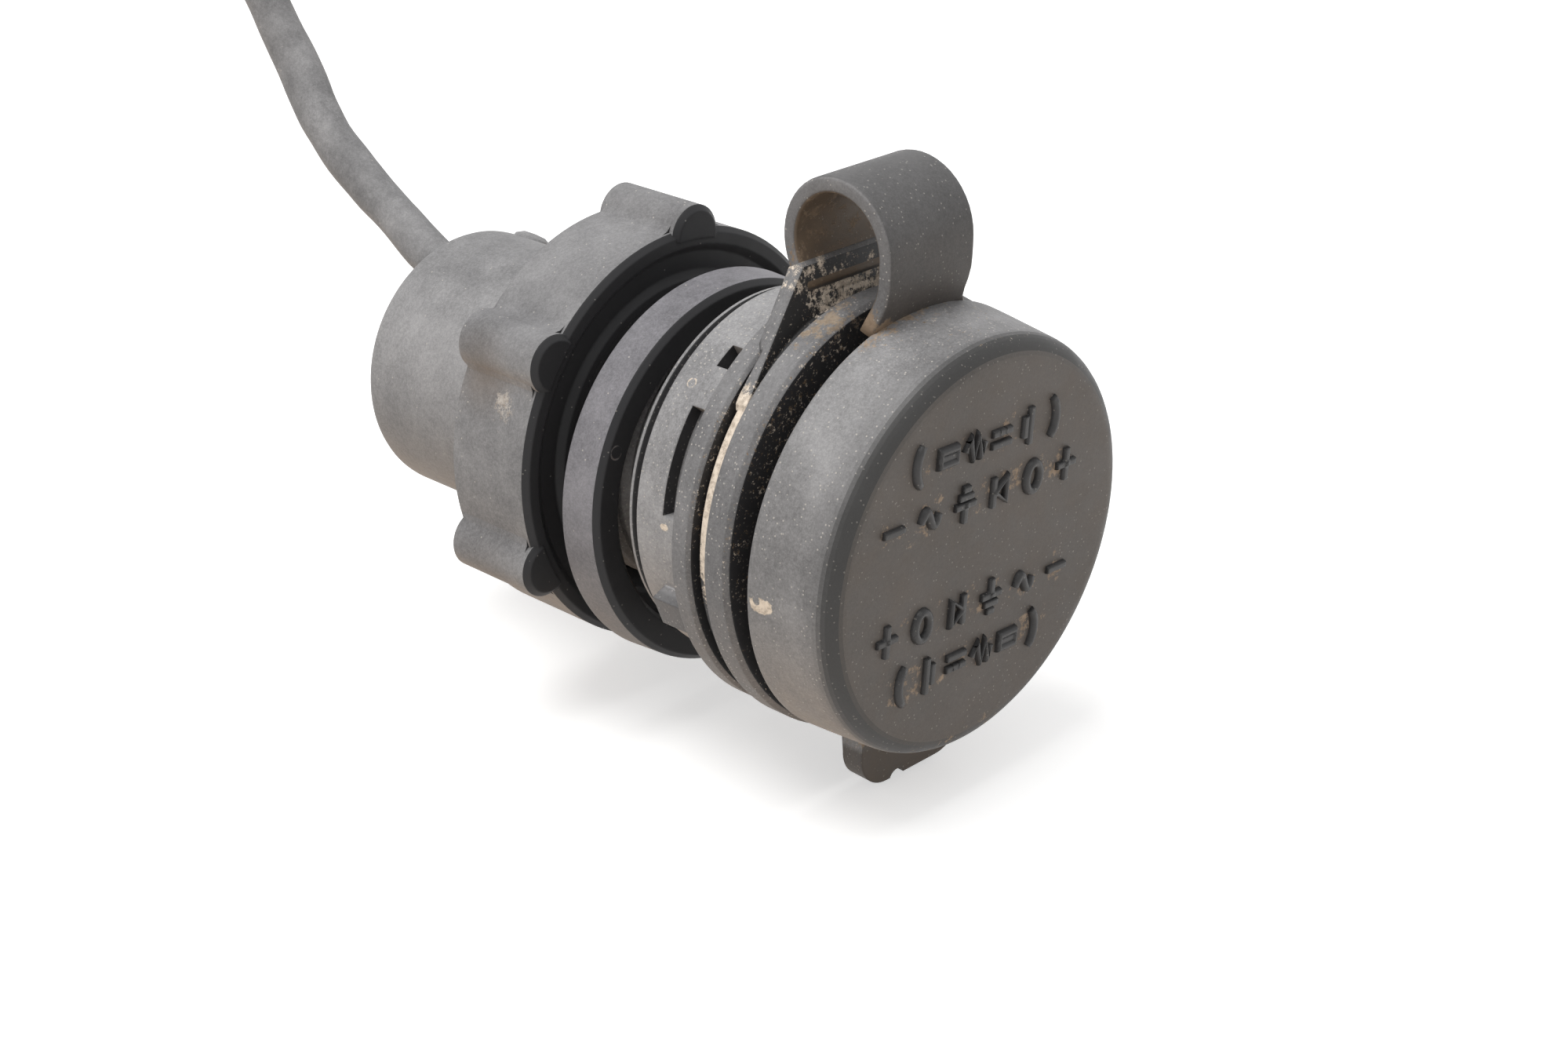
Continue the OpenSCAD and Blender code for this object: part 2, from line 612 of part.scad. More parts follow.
socket_housing();
contact_sleeve();
insulator_cup();
insulator_disc();
contact_spring();
centre_contact();
centre_rivet();
positive_terminal();
negative_terminal();
positive_receptacle();
negative_receptacle();
positive_wire();
negative_wire();
rear_boot();
lead_grommet();
cap();
strap_loop();
retaining_ring();
spacer_ring();
ring_nut();
lead();
positive_tail();
negative_tail();
connector_housing();
connector_pin_left();
connector_pin_right();
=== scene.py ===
"""Looks of the weatherproof twelve volt accessory socket: lead, strap, cap signs, materials and light."""
import bpy
import bmesh
import math
from mathutils import Matrix, Vector, noise


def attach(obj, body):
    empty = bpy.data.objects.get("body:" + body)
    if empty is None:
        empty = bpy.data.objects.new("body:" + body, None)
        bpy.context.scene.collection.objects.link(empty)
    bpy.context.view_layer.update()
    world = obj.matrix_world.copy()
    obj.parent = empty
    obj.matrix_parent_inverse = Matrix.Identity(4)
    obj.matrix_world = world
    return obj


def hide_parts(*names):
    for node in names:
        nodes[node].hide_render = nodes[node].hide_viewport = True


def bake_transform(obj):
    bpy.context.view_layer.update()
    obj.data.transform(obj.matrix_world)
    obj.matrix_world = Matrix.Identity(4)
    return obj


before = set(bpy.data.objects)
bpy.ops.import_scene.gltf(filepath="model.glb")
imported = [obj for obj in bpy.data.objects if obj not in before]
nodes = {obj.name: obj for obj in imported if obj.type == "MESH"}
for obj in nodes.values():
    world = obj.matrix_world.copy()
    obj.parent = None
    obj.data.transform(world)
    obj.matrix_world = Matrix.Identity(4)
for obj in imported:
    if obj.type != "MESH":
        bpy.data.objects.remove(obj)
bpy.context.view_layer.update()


MM = 0.001
scene = bpy.context.scene

# Camera: 46 degrees to the left of the cap's axis, looking down 24.5 degrees, held a little askew
AZ = math.radians(-45.916)
EL = math.radians(24.508)
ROLL = math.radians(0.339)
FOCAL_PIXELS = 3508
PHOTO_WIDTH = 1999
SENSOR_WIDTH = 36
CAMERA_AT = (-158.005, -147.753, 95.353)
back = Vector((math.sin(AZ) * math.cos(EL), -math.cos(AZ) * math.cos(EL), math.sin(EL)))
level = Vector((math.cos(AZ), math.sin(AZ), 0))
upright = back.cross(level)
right = level * math.cos(ROLL) - upright * math.sin(ROLL)
up = upright * math.cos(ROLL) + level * math.sin(ROLL)
camera_data = bpy.data.cameras.new("camera")
camera_data.sensor_fit = "HORIZONTAL"
camera_data.sensor_width = SENSOR_WIDTH
camera_data.lens = FOCAL_PIXELS / PHOTO_WIDTH * SENSOR_WIDTH
camera_data.clip_start = 0.01
camera_data.clip_end = 10
camera = bpy.data.objects.new("camera", camera_data)
axes = Matrix((right, up, back)).transposed().to_4x4()
camera.matrix_world = Matrix.Translation(Vector(CAMERA_AT) * MM) @ axes
scene.collection.objects.link(camera)
scene.camera = camera


# Helpers for meshes
def add_piece(name, verts, faces, smooth=True):
    mesh = bpy.data.meshes.new(name)
    mesh.from_pydata([tuple(v) for v in verts], [], faces)
    mesh.update()
    bm = bmesh.new()
    bm.from_mesh(mesh)
    bmesh.ops.recalc_face_normals(bm, faces=bm.faces)
    bm.to_mesh(mesh)
    bm.free()
    for p in mesh.polygons:
        p.use_smooth = smooth
    obj = bpy.data.objects.new(name, mesh)
    scene.collection.objects.link(obj)
    return obj


def through(points, step):
    """Even points, about a step apart, on a smooth curve through the given ones."""
    p = [Vector(q) for q in points]
    p = [p[0] * 2 - p[1]] + p + [p[-1] * 2 - p[-2]]
    dense = []
    for i in range(1, len(p) - 2):
        a, b, c, d = p[i - 1], p[i], p[i + 1], p[i + 2]
        for k in range(12):
            t = k / 12
            dense.append(0.5 * (2 * b + (c - a) * t + (2 * a - 5 * b + 4 * c - d) * t * t
                                + (3 * b - a - 3 * c + d) * t ** 3))
    dense.append(p[-2])
    total = sum((dense[i + 1] - dense[i]).length for i in range(len(dense) - 1))
    count = max(2, round(total / step))
    out = [dense[0]]
    walked = 0.0
    for i in range(len(dense) - 1):
        part = (dense[i + 1] - dense[i]).length
        while len(out) < count and walked + part >= total * len(out) / count:
            f = (total * len(out) / count - walked) / part
            out.append(dense[i].lerp(dense[i + 1], f))
        walked += part
    out.append(dense[-1])
    return out


def loft_faces(rings, size):
    """Faces between rings of size points each, with both ends closed."""
    faces = []
    for i in range(rings - 1):
        for j in range(size):
            k = (j + 1) % size
            faces.append((i * size + j, i * size + k, (i + 1) * size + k, (i + 1) * size + j))
    faces.append(tuple(range(size)))
    faces.append(tuple(range((rings - 1) * size, rings * size)))
    return faces


def tube(name, path, radius, sides=20):
    """Tube along a path: radius is a function of the place's number and the angle round it."""
    verts = []
    n = len(path)
    side = Vector((1, 0, 0))
    for i, p in enumerate(path):
        t = (path[min(i + 1, n - 1)] - path[max(i - 1, 0)]).normalized()
        side = (side - t * side.dot(t)).normalized()
        other = t.cross(side)
        for j in range(sides):
            a = 2 * math.pi * j / sides
            verts.append(p + (side * math.cos(a) + other * math.sin(a)) * radius(i, a))
    return add_piece(name, verts, loft_faces(n, sides))


# Lead: the route's points are those of the solids, in millimetres
LEAD_D = 4.4
route = [(0, 46.6, 7.7), (0, 49.4, 7.7), (0, 53, 9), (0, 57, 11.3), (-0.3, 61, 13.8), (-0.6, 65, 16.8),
         (-0.5, 68, 19.7), (0, 71, 22.9), (0, 74, 27), (-0.2, 77, 31.5), (-0.8, 81, 36), (-2, 86.5, 39.5),
         (-4, 93, 41.5), (-7, 99.5, 41), (-10.5, 106, 38.5), (-13.5, 112, 34), (-16, 117, 27.5),
         (-17.5, 121, 19.5), (-18, 124, 11), (-18, 126.5, 2.5), (-17.5, 129.5, -6), (-16.5, 134, -13.5),
         (-15, 140, -19), (-13, 147, -21.5), (-10.5, 154, -21.9), (-7.5, 161, -21.9), (-4.5, 168, -21.9),
         (-2.5, 174, -21.9), (-2, 180, -21.9), (-2, 182, -21.9)]
lead_path = through([Vector(p) * MM for p in route], 1.0 * MM)


def lead_radius(i, a):
    """Radius of the sleeve, with slow lumps along it and fine ripples round it."""
    p = lead_path[i] / MM
    lump = noise.noise(Vector((p.y * 0.11, p.z * 0.11, 3.1)))
    ripple = noise.noise(Vector((i * 0.35, math.cos(a) * 0.7, math.sin(a) * 0.7)))
    return LEAD_D / 2 * MM * (0.97 + 0.07 * lump + 0.05 * ripple)


lead = tube("lead_sleeve", lead_path, lead_radius)
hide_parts("lead")
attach(lead, "socket")

# Strap: it bends from its root on the retaining ring over the loop and down to the cap's skirt
STRAP_W = 10.2
STRAP_T = 1.4
STRAP_ROUND = 0.32
FOOT_FLARE = 1.3
FOOT_RINGS = 3
LOOP_Y = -5.6
LOOP_Z = 24.2
LOOP_MID = 5.2
LOOP_START = math.radians(-28)
LOOP_SWEEP = math.radians(208)
LOOP_STEPS = 26
ROOT_POINTS = 4
ROOT_Y = -0.9
ROOT_Z = -2.2
ROOT_STEP_Y = 0.225
ROOT_STEP_Z = 0.55
LEG = [(-10.78, 23.3), (-10.73, 22.4), (-10.65, 21.6), (-10.4, 20.7), (-10.0, 19.8), (-9.6, 18.9),
       (-9.35, 18.1)]


def on_loop(a):
    """The point (y, z) of the loop's middle line that lies at angle a from +Y."""
    return LOOP_Y + LOOP_MID * math.cos(a), LOOP_Z + LOOP_MID * math.sin(a)


def strap_line():
    """The strap's middle line as (y, z) in millimetres: root, loop and leg."""
    y, z = on_loop(LOOP_START)
    root = [(y + ROOT_Y + ROOT_STEP_Y * i, z + ROOT_Z + ROOT_STEP_Z * i) for i in range(ROOT_POINTS)]
    loop = [on_loop(LOOP_START + LOOP_SWEEP * i / LOOP_STEPS) for i in range(LOOP_STEPS + 1)]
    return root + loop + LEG


def rounded_section(w, t, r, n=4):
    """Points round a flat section, w along X and t across, with rounded edges."""
    out = []
    for cx, cy, a0 in ((w / 2 - r, t / 2 - r, 0), (-w / 2 + r, t / 2 - r, 90),
                       (-w / 2 + r, -t / 2 + r, 180), (w / 2 - r, -t / 2 + r, 270)):
        for k in range(n + 1):
            a = math.radians(a0 + 90 * k / n)
            out.append((cx + r * math.cos(a), cy + r * math.sin(a)))
    return out


def strap_mesh():
    """The band round its middle line, a little wider where its foot meets the skirt."""
    verts = []
    line = strap_line()
    last = len(line) - 1
    for i, (y, z) in enumerate(line):
        y0, z0 = line[max(i - 1, 0)]
        y1, z1 = line[min(i + 1, last)]
        t = Vector((0, y1 - y0, z1 - z0)).normalized()
        out = Vector((0, t.z, -t.y))
        flare = FOOT_FLARE * max(0, 1 - (last - i) / FOOT_RINGS) ** 2
        ring = rounded_section(STRAP_W + flare, STRAP_T, STRAP_ROUND)
        for x, d in ring:
            verts.append((Vector((x, y, z)) + out * d) * MM)
    return add_piece("strap_band", verts, loft_faces(last + 1, len(ring)))


strap = strap_mesh()
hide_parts("strap_loop")


def copy_of(node, name, place):
    """A copy of a solid as a piece of its own: place gives the point for each vertex."""
    source = nodes[node].data
    verts = [place(v.co) for v in source.vertices]
    return add_piece(name, verts, [tuple(p.vertices) for p in source.polygons])


# Cap: the solid's own form, with the rear rim of its skirt carried further back
CAP_Y = -9
TILT = math.radians(3)
RIM_MORE = 0.35
RIM_INNER = 16.0
RIM_OUTER = 19.05
RIM_FROM = -0.6
SHARP = math.radians(28)


def with_rim(point):
    """A vertex of the cap, carried back if it lies on the rear rim of the skirt."""
    middle = Vector((0, CAP_Y, 0)) * MM
    x, y, z = Matrix.Rotation(-TILT, 3, "X") @ (point - middle) / MM
    on_rim = RIM_INNER < math.hypot(x, z) < RIM_OUTER and y > RIM_FROM
    more = Matrix.Rotation(TILT, 3, "X") @ Vector((0, RIM_MORE, 0)) * MM
    return point + more if on_rim else point


cap_piece = copy_of("cap", "cap_shell", with_rim)
cap_piece.data.set_sharp_from_angle(angle=SHARP)
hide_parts("cap")
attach(cap_piece, "cap")

# Spring behind the centre contact, as a piece of its own
press_spring = copy_of("contact_spring", "press_spring", lambda point: point)
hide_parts("contact_spring")
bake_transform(press_spring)

# Raised signs on the cap's face: plain electrical signs in two rows, and the same turned half round
FACE = 8.4


def on_face(x, z, out):
    """A point of the cap's face in metres: x and z across it, out proud of it, in millimetres."""
    y = -FACE - out
    back_y = y * math.cos(TILT) - z * math.sin(TILT)
    up_z = y * math.sin(TILT) + z * math.cos(TILT)
    return Vector((x, CAP_Y + back_y, up_z)) * MM


def circle(cx, cz, rx, rz, a0=0, a1=360, n=20):
    return [(cx + rx * math.cos(math.radians(a0 + (a1 - a0) * i / n)),
             cz + rz * math.sin(math.radians(a0 + (a1 - a0) * i / n))) for i in range(n + 1)]


def wave(reach=1, height=0.75, n=16):
    return [(reach * (2 * i / n - 1), height * math.sin(2 * math.pi * i / n)) for i in range(n + 1)]


# Each sign's lines, in millimetres about its own middle
signs = {
    "plus": [[(-0.95, 0), (0.95, 0)], [(0, -1.2), (0, 1.2)]],
    "direct": [[(-0.95, 0.65), (0.95, 0.65)], [(-0.95, -0.4), (-0.55, -0.4)], [(-0.2, -0.4), (0.2, -0.4)],
               [(0.55, -0.4), (0.95, -0.4)]],
    "ring": [circle(0, 0, 0.85, 1.25)],
    "earth": [[(0, 1.4), (0, 0.1)], [(-1, 0.1), (1, 0.1)], [(-0.6, -0.65), (0.6, -0.65)],
              [(-0.2, -1.35), (0.2, -1.35)]],
    "wave": [wave()],
    "minus": [[(-0.95, 0), (0.95, 0)]],
    "diode": [[(-0.75, 1.1), (-0.75, -1.1), (0.65, 0), (-0.75, 1.1)], [(0.75, 1.1), (0.75, -1.1)]],
    "cell": [[(-0.35, 1.4), (-0.35, -1.4)], [(0.35, 0.7), (0.35, -0.7)]],
    "zigzag": [[(-1.1, 0), (-0.7, 1), (-0.2, -1), (0.3, 1), (0.75, -1), (1.1, 0)]],
    "fuse": [[(-1, 0.6), (1, 0.6), (1, -0.6), (-1, -0.6), (-1, 0.6)], [(-1, 0), (1, 0)]],
    "open": [circle(0.7, 0, 1.1, 1.9, 125, 235, 10)],
    "close": [circle(-0.7, 0, 1.1, 1.9, -55, 55, 10)],
}
# Rows: height on the face, place of the first sign, distance between signs, their names
rows = [
    (-4.4, -11.5, 4.3, ["plus", "ring", "diode", "earth", "wave", "minus"]),
    (-9.3, -9.1, 3.3, ["open", "cell", "direct", "zigzag", "fuse", "close"]),
]
# The other two rows are these turned half round this point, and all four lie a little askew
MID_X = -0.85
MID_Z = 0.45
ASKEW = math.radians(-2)
SIGN_STROKE = 0.95
SIGN_RISE = 0.5
END_REACH = 0.25
END_NARROW = 0.8
END_LOW = 0.75
# A stroke's section: how far out, in half widths, and how high, in rises
RIDGE = [(-1.0, -0.5), (-0.82, 0.35), (-0.6, 0.8), (-0.25, 1.0),
         (0.25, 1.0), (0.6, 0.8), (0.82, 0.35), (1.0, -0.5)]


def stroke(verts, faces, line):
    """A ridge along a line on the cap's face, with a rounded top, sloped sides and closed ends."""
    pts = [Vector(p) for p in line]
    closed = (pts[0] - pts[-1]).length < 1e-6 and len(pts) > 3
    if closed:
        pts = pts[:-1]
    else:
        pts[0] = pts[0] + (pts[0] - pts[1]).normalized() * SIGN_STROKE * END_REACH
        pts[-1] = pts[-1] + (pts[-1] - pts[-2]).normalized() * SIGN_STROKE * END_REACH
    first = len(verts)
    n = len(pts)
    for i, p in enumerate(pts):
        before = pts[(i - 1) % n] if closed or i > 0 else p
        after = pts[(i + 1) % n] if closed or i < n - 1 else p
        t = (after - before).normalized()
        side = Vector((-t.y, t.x))
        end = (not closed) and i in (0, n - 1)
        for s, h in RIDGE:
            q = p + side * (s * SIGN_STROKE / 2 * (END_NARROW if end else 1.0)) - Vector((MID_X, MID_Z))
            x = MID_X + q.x * math.cos(ASKEW) - q.y * math.sin(ASKEW)
            z = MID_Z + q.x * math.sin(ASKEW) + q.y * math.cos(ASKEW)
            verts.append(on_face(x, z, SIGN_RISE * (min(h, END_LOW) if end else h)))
    m = len(RIDGE)
    for i in range(n if closed else n - 1):
        a, b = first + i * m, first + ((i + 1) % n) * m
        for j in range(m):
            k = (j + 1) % m
            faces.append((a + j, a + k, b + k, b + j))
    if not closed:
        faces.append(tuple(range(first, first + m)))
        faces.append(tuple(range(first + (n - 1) * m, first + n * m)))


def cap_signs():
    verts, faces = [], []
    for z, x0, pitch, names in rows:
        for i, name in enumerate(names):
            for line in signs[name]:
                here = [(x0 + pitch * i + u, z + v) for u, v in line]
                stroke(verts, faces, here)
                stroke(verts, faces, [(2 * MID_X - u, 2 * MID_Z - v) for u, v in here])
    return add_piece("cap_signs", verts, faces, smooth=False)


signs_piece = cap_signs()
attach(signs_piece, "cap")


# Helpers for materials
class Graph:
    """Makes and joins the nodes of one shader tree."""

    def __init__(self, tree):
        self.tree = tree

    def add(self, kind, **settings):
        n = self.tree.nodes.new(kind)
        for key, value in settings.items():
            setattr(n, key, value)
        return n

    def put(self, socket, value):
        if isinstance(value, bpy.types.NodeSocket):
            self.tree.links.new(value, socket)
        elif isinstance(value, (tuple, list)) and len(value) == 3 and socket.type == "RGBA":
            socket.default_value = (*value, 1)
        else:
            socket.default_value = value

    def math(self, op, a, b=0.0, clamp=False):
        n = self.add("ShaderNodeMath", operation=op, use_clamp=clamp)
        self.put(n.inputs[0], a)
        self.put(n.inputs[1], b)
        return n.outputs[0]

    def step(self, value, low, high, to_low=0.0, to_high=1.0):
        n = self.add("ShaderNodeMapRange", interpolation_type="SMOOTHSTEP")
        for k, v in enumerate((value, low, high, to_low, to_high)):
            self.put(n.inputs[k], v)
        return n.outputs[0]

    def mix(self, factor, a, b):
        n = self.add("ShaderNodeMix", data_type="RGBA")
        self.put(n.inputs[0], factor)
        self.put(n.inputs[6], a)
        self.put(n.inputs[7], b)
        return n.outputs[2]

    def noise(self, vector, scale, detail=2.0, roughness=0.5, distortion=0.0):
        n = self.add("ShaderNodeTexNoise")
        self.put(n.inputs["Vector"], vector)
        self.put(n.inputs["Scale"], scale)
        self.put(n.inputs["Detail"], detail)
        self.put(n.inputs["Roughness"], roughness)
        self.put(n.inputs["Distortion"], distortion)
        return n.outputs[0]

    def cells(self, vector, scale):
        n = self.add("ShaderNodeTexVoronoi")
        self.put(n.inputs["Vector"], vector)
        self.put(n.inputs["Scale"], scale)
        return n.outputs["Distance"], n.outputs["Color"]

    def vector(self, op, a, b=(0, 0, 0)):
        n = self.add("ShaderNodeVectorMath", operation=op)
        self.put(n.inputs[0], a)
        self.put(n.inputs[1], b)
        return n.outputs["Value"] if op in ("DISTANCE", "DOT_PRODUCT", "LENGTH") else n.outputs["Vector"]

    def parts(self, vector):
        n = self.add("ShaderNodeSeparateXYZ")
        self.put(n.inputs[0], vector)
        return n.outputs[0], n.outputs[1], n.outputs[2]


def group(name, inputs, outputs, build):
    """A node group: build gets its graph and its inputs by name, and gives its outputs by name."""
    tree = bpy.data.node_groups.new(name, "ShaderNodeTree")
    for label, kind, default in inputs:
        s = tree.interface.new_socket(name=label, in_out="INPUT", socket_type=kind)
        if default is not None:
            s.default_value = default
    for label, kind in outputs:
        tree.interface.new_socket(name=label, in_out="OUTPUT", socket_type=kind)
    g = Graph(tree)
    source = g.add("NodeGroupInput")
    sink = g.add("NodeGroupOutput")
    results = build(g, {s.name: s for s in source.outputs if s.name})
    for label, value in results.items():
        g.put(sink.inputs[label], value)
    return tree


def most(g, masks):
    out = masks[0]
    for m in masks[1:]:
        out = g.math("MAXIMUM", out, m)
    return out


# Tones of the dirt; the first two also carry painted warm bounce light
DUST_IN_PAINTED_BOUNCE = (0.43, 0.36, 0.305)
SOIL_AND_PAINTED_BOUNCE = (0.165, 0.118, 0.078)
SPECK = (0.52, 0.49, 0.45)
BROWN_GRAIN = (0.19, 0.135, 0.085)
PALE_GRAIN = (0.58, 0.51, 0.43)
CRUMB = (0.15, 0.105, 0.07)
# Layers of specks: cells in a metre, where in its cell a speck fades, its strength, which of the cell's
# random numbers picks it, and the share of cells that have one where Specks is 1
SPECK_LAYERS = ((560, 0.025, 0.06, 1.0, 0, 0.916), (1500, 0.08, 0.16, 0.8, 1, 0.6),
                (3100, 0.15, 0.3, 0.8, 2, 1.6))


def speck_layers(g, place, specks, film):
    """Small specks of light dust in a few of the cells, weaker where the film is thin."""
    layers = []
    for cells, full, gone, strength, which, share in SPECK_LAYERS:
        distance, code = g.cells(place, cells)
        odds = g.math("SUBTRACT", 1.0, g.math("MULTIPLY", specks, share))
        picked = g.math("GREATER_THAN", g.parts(code)[which], odds)
        layers.append(g.math("MULTIPLY", g.step(distance, full, gone, strength, 0.0), picked))
    return g.math("MULTIPLY", most(g, layers), g.step(film, 0.08, 0.5, 0.3, 1.0))


def grit_grains(g, place, grit):
    """Mask and tone of brown and pale grains, which lie closer where grit is higher."""
    odds = g.math("MULTIPLY", grit, g.step(g.noise(place, 420, 3, 0.6), 0.3, 0.7, 0.4, 1.0))
    limit = g.math("SUBTRACT", 0.70, g.math("MULTIPLY", odds, 0.32))
    above = g.math("SUBTRACT", g.noise(place, 2600, 3, 0.8), limit)
    there = g.math("MULTIPLY", g.step(above, 0.0, 0.05), g.math("GREATER_THAN", grit, 0.005))
    kind = g.step(g.noise(place, 1900, 2, 0.6), 0.42, 0.58)
    return there, g.mix(kind, BROWN_GRAIN, PALE_GRAIN)


def heaped_earth(g, place, placed):
    """Mask of earth that lies thick, ragged at its edges."""
    ragged = g.math("ADD", placed, g.step(g.noise(place, 900, 5, 0.8), 0.25, 0.75, -0.5, 0.5))
    return g.math("MULTIPLY", g.step(ragged, 0.35, 0.7), g.step(placed, 0.0, 0.1))


def build_film(g, i):
    """Black plastic or rubber under an uneven film of dust, with specks, grains, earth and a fine texture.
    The dust turns warmer on sides turned from the key light, as painted bounce light, and the brown tone is
    partly dust and partly painted warm bounce light.
    """
    place = i["Place"]
    patch = g.noise(place, 70, 4, 0.6)
    cloud = g.noise(place, 320, 4, 0.65)
    grain = g.noise(place, 2600, 3, 0.7)
    fine = g.noise(place, 6500, 2, 0.6)
    uneven = g.math("ADD", g.step(patch, 0.3, 0.72, 0.72, 1.18), g.step(cloud, 0.3, 0.75, -0.12, 0.14))
    uneven = g.math("ADD", uneven, g.step(grain, 0.3, 0.7, -0.12, 0.12))
    uneven = g.math("ADD", uneven, g.step(fine, 0.35, 0.75, -0.09, 0.16))
    film = g.math("MULTIPLY", i["Film"], uneven, clamp=True)
    # Painted bounce light: the dust takes the warmer tone on sides turned from the key light
    colour = g.mix(film, i["Base"], g.mix(i["Warm"], i["Dust"], DUST_IN_PAINTED_BOUNCE))
    # Brown tone, partly brown dust and partly painted warm bounce light
    soil_and_bounce = g.math("MULTIPLY", i["Brown"], g.step(cloud, 0.25, 0.75, 0.75, 1.2), clamp=True)
    colour = g.mix(soil_and_bounce, colour, SOIL_AND_PAINTED_BOUNCE)
    specks = speck_layers(g, place, i["Specks"], i["Film"])
    colour = g.mix(specks, colour, SPECK)
    grains, grain_tone = grit_grains(g, place, i["Grit"])
    colour = g.mix(grains, colour, grain_tone)
    heap = heaped_earth(g, place, i["Placed"])
    crumbs = g.step(g.noise(place, 1700, 4, 0.7), 0.32, 0.6, 0.55, 0.0)
    colour = g.mix(heap, colour, g.mix(crumbs, i["Earth"], CRUMB))
    rough = g.math("ADD", i["Rough"], g.math("MULTIPLY", g.math("MAXIMUM", film, heap), 0.25), clamp=True)
    rough = g.math("ADD", rough, g.step(cloud, 0.3, 0.7, -0.05, 0.05), clamp=True)
    height = g.math("ADD", g.math("MULTIPLY", grain, 0.5), g.math("MULTIPLY", fine, 0.35))
    height = g.math("ADD", height, g.math("MULTIPLY", specks, 0.8))
    lumps = g.step(g.noise(place, 1900, 3, 0.7), 0.2, 0.8, 0.6, 2.4)
    height = g.math("ADD", height, g.math("MULTIPLY", heap, lumps))
    return {"Color": colour, "Roughness": rough, "Height": height}


FILM = group("dust_film",
             [("Place", "NodeSocketVector", None), ("Base", "NodeSocketColor", (0.03, 0.03, 0.03, 1)),
              ("Dust", "NodeSocketColor", (0.4, 0.38, 0.36, 1)),
              ("Earth", "NodeSocketColor", (0.36, 0.28, 0.21, 1)),
              ("Film", "NodeSocketFloat", 0.4), ("Specks", "NodeSocketFloat", 0.1),
              ("Placed", "NodeSocketFloat", 0.0), ("Warm", "NodeSocketFloat", 0.0),
              ("Brown", "NodeSocketFloat", 0.0), ("Grit", "NodeSocketFloat", 0.0),
              ("Rough", "NodeSocketFloat", 0.5)],
             [("Color", "NodeSocketColor"), ("Roughness", "NodeSocketFloat"), ("Height", "NodeSocketFloat")],
             build_film)
GRAIN_HEIGHT = 0.05
EDGE_ROUND = 0.3
# Direction of the key light; the painted warm bounce on the dust grows on sides turned away from it
KEY_SIDE = (-0.25, 0.1, 0.96)
PALE_EARTH = (0.80, 0.69, 0.57)


# The default dust tone is a little cool: dust with a painted tint of cool sky light
def dusty(name, base, film, specks, film_by=None, placed=None, brown_by=None, grit_by=None, pale_by=None,
          dust=(0.40, 0.395, 0.402), earth=(0.36, 0.28, 0.21), rough=0.5, gloss=0.35, bump=0.25):
    """A dusty material. What ends in _by, and placed, makes a mask's socket from (graph, place, normal)."""
    m = bpy.data.materials.new(name)
    m.use_nodes = True
    g = Graph(m.node_tree)
    shader = m.node_tree.nodes["Principled BSDF"]
    shader.inputs["Specular IOR Level"].default_value = gloss
    coords = g.add("ShaderNodeTexCoord")
    place, normal = coords.outputs["Object"], coords.outputs["Normal"]
    skin = g.add("ShaderNodeGroup")
    skin.node_tree = FILM
    g.put(skin.inputs["Place"], place)
    g.put(skin.inputs["Base"], base)
    g.put(skin.inputs["Dust"], dust)
    g.put(skin.inputs["Earth"], earth)
    g.put(skin.inputs["Film"], film)
    g.put(skin.inputs["Specks"], specks)
    g.put(skin.inputs["Rough"], rough)
    if film_by:
        g.put(skin.inputs["Film"], g.math("MULTIPLY", film_by(g, place, normal), film))
    for label, mask in (("Placed", placed), ("Brown", brown_by), ("Grit", grit_by)):
        if mask:
            g.put(skin.inputs[label], mask(g, place, normal))
    if pale_by:
        g.put(skin.inputs["Earth"], g.mix(pale_by(g, place, normal), earth, PALE_EARTH))
    # Painted warm bounce light: stronger the further a side turns away from the key light
    g.put(skin.inputs["Warm"], facing(g, normal, KEY_SIDE, 0.35, -0.75))
    g.put(shader.inputs["Base Color"], skin.outputs["Color"])
    g.put(shader.inputs["Roughness"], skin.outputs["Roughness"])
    relief = g.add("ShaderNodeBump")
    relief.inputs["Strength"].default_value = bump
    relief.inputs["Distance"].default_value = GRAIN_HEIGHT * MM
    g.put(relief.inputs["Height"], skin.outputs["Height"])
    rim = g.add("ShaderNodeBevel", samples=4)
    rim.inputs["Radius"].default_value = EDGE_ROUND * MM
    g.put(relief.inputs["Normal"], rim.outputs["Normal"])
    g.put(shader.inputs["Normal"], relief.outputs["Normal"])
    return m


# Masks: where each kind of dirt lies, and where shade and bounce light are painted. Places are in
# millimetres, read from the photograph
FRONT = (0, -1, 0)
REAR = (0, 1, 0)
BLOB = (-18.83, -10.4, -1.0)
BLOB_DENT = (-18.83, -9.95, -0.75)
STRAP_FOOT = (-3, -9.6, 18.6)
STRAP_FOOT_CORNER = (-4.6, -9.2, 18.6)
STRAP_ROOT_CORNER = (-5, -1.2, 22)
FLARE_TOP = (-4.5, -1.5, 20.5)
RING_TOP = (0, -2, 18.3)
FLANGE_TOP = (-6, -5.2, 18.2)
NECK_SPECK = (-16.6, 3.0, 0.9)
NECK_PIN_MARK = (-11.6, 4.5, 11.85)
SPACER_PIN_MARK = (-14.9, 10.4, 4.9)
NUT_BLOB = (-17.8, 21.6, 6.7)
NUT_LOBE_FOOT = (-16.3, 26.9, 11)
NUT_BROWN_HIGH = (-16.8, 24.5, 9)
NUT_BROWN_LOW = (-18, 23, -12)
TAB_TOP = -19.0
# The four rows of signs on the face: height, and how far to each side of their middle they reach
SIGN_ROWS = ((-4.8, 12.6), (-9.7, 10.4), (4.9, 12.6), (9.8, 10.4))


